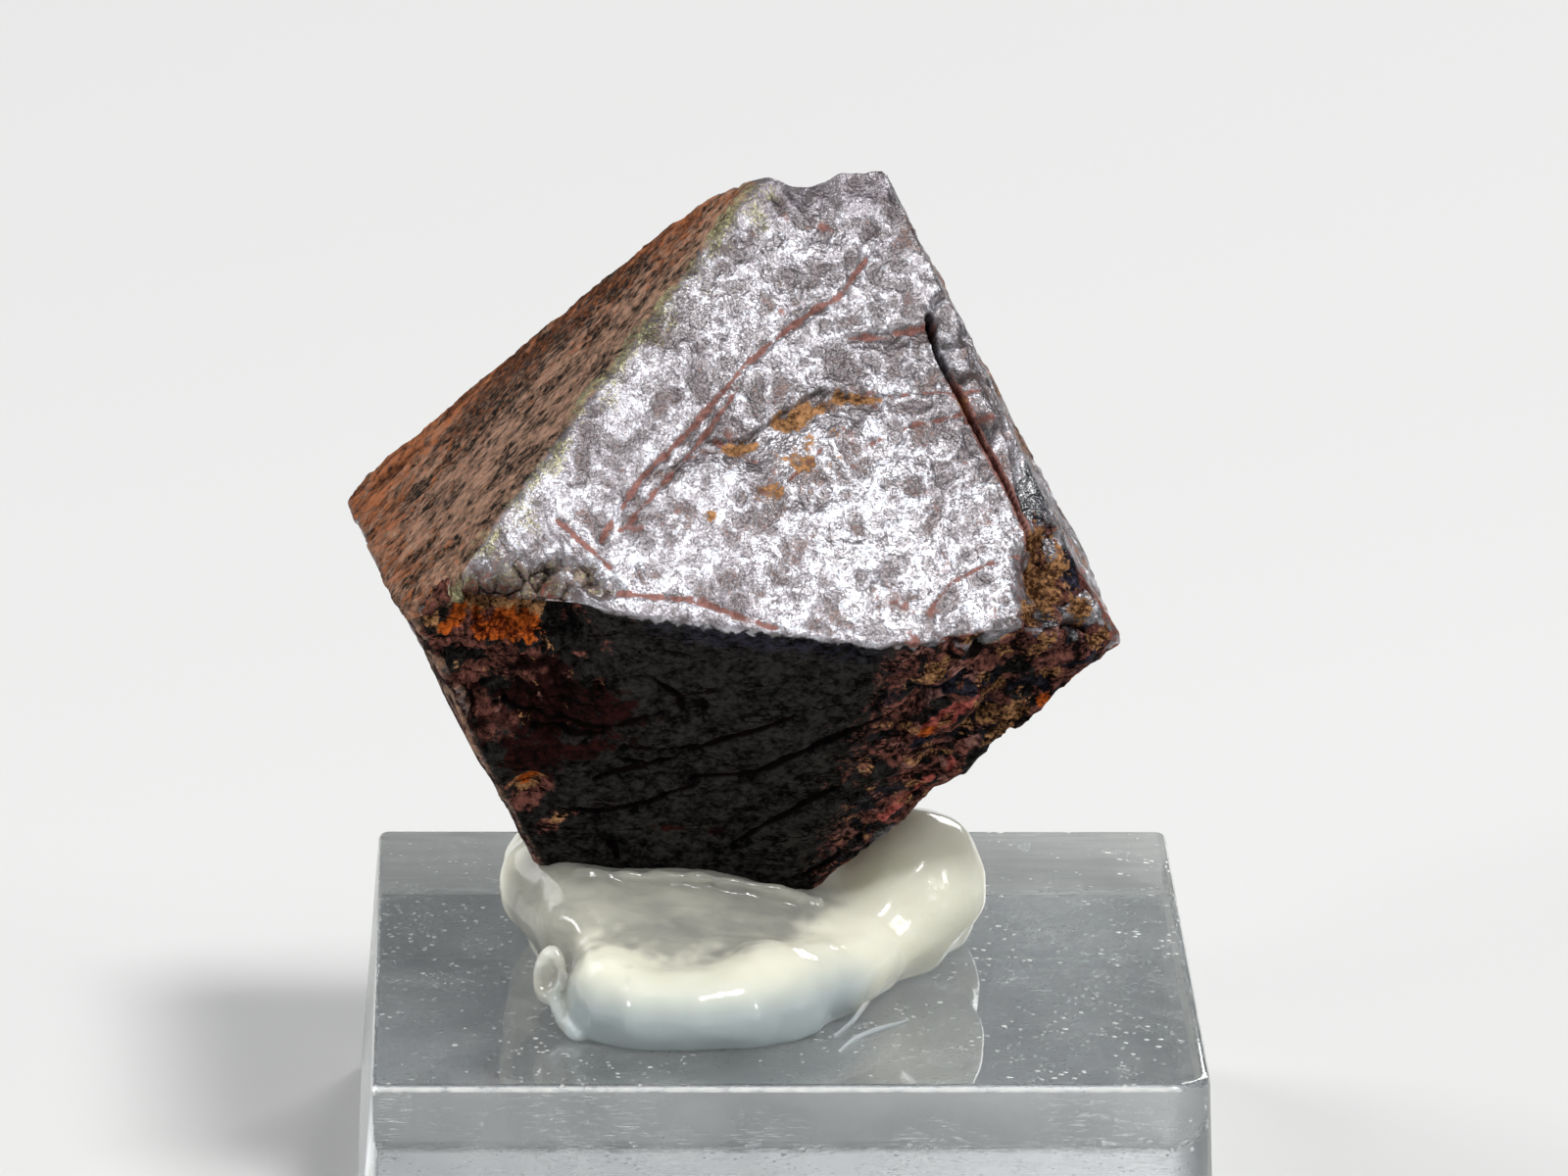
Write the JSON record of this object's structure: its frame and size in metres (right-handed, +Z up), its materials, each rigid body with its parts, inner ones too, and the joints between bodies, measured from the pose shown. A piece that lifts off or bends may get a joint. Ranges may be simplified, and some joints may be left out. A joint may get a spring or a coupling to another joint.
{
  "type": "magnetite crystal specimen on a block",
  "caption": "Octahedral magnetite crystal, rusty and broken at a corner, fixed with milky hot-melt glue on a small clear acrylic display block.",
  "frame": {"origin": "centre of the acrylic block's underside", "axes": "+Z up, out of the block's top face towards the crystal; -Y is the side that the crystal's main face looks to; +X to the right seen from there"},
  "size_m": [0.0267, 0.0258, 0.0334],
  "materials": {
    "magnetite": "dark grey submetallic, glittering on the main face, with red-brown and ochre iron rust in hollows and on the broken corner",
    "glue": "hardened hot-melt glue, milky and glossy, see-through where it is thin",
    "acrylic": "clear acrylic with polished faces, fine scratches and dust"
  },
  "bodies": {
    "root": {"magnetite_crystal": "magnetite", "hot_glue": "glue", "acrylic_block": "acrylic"}
  },
  "joints": []
}
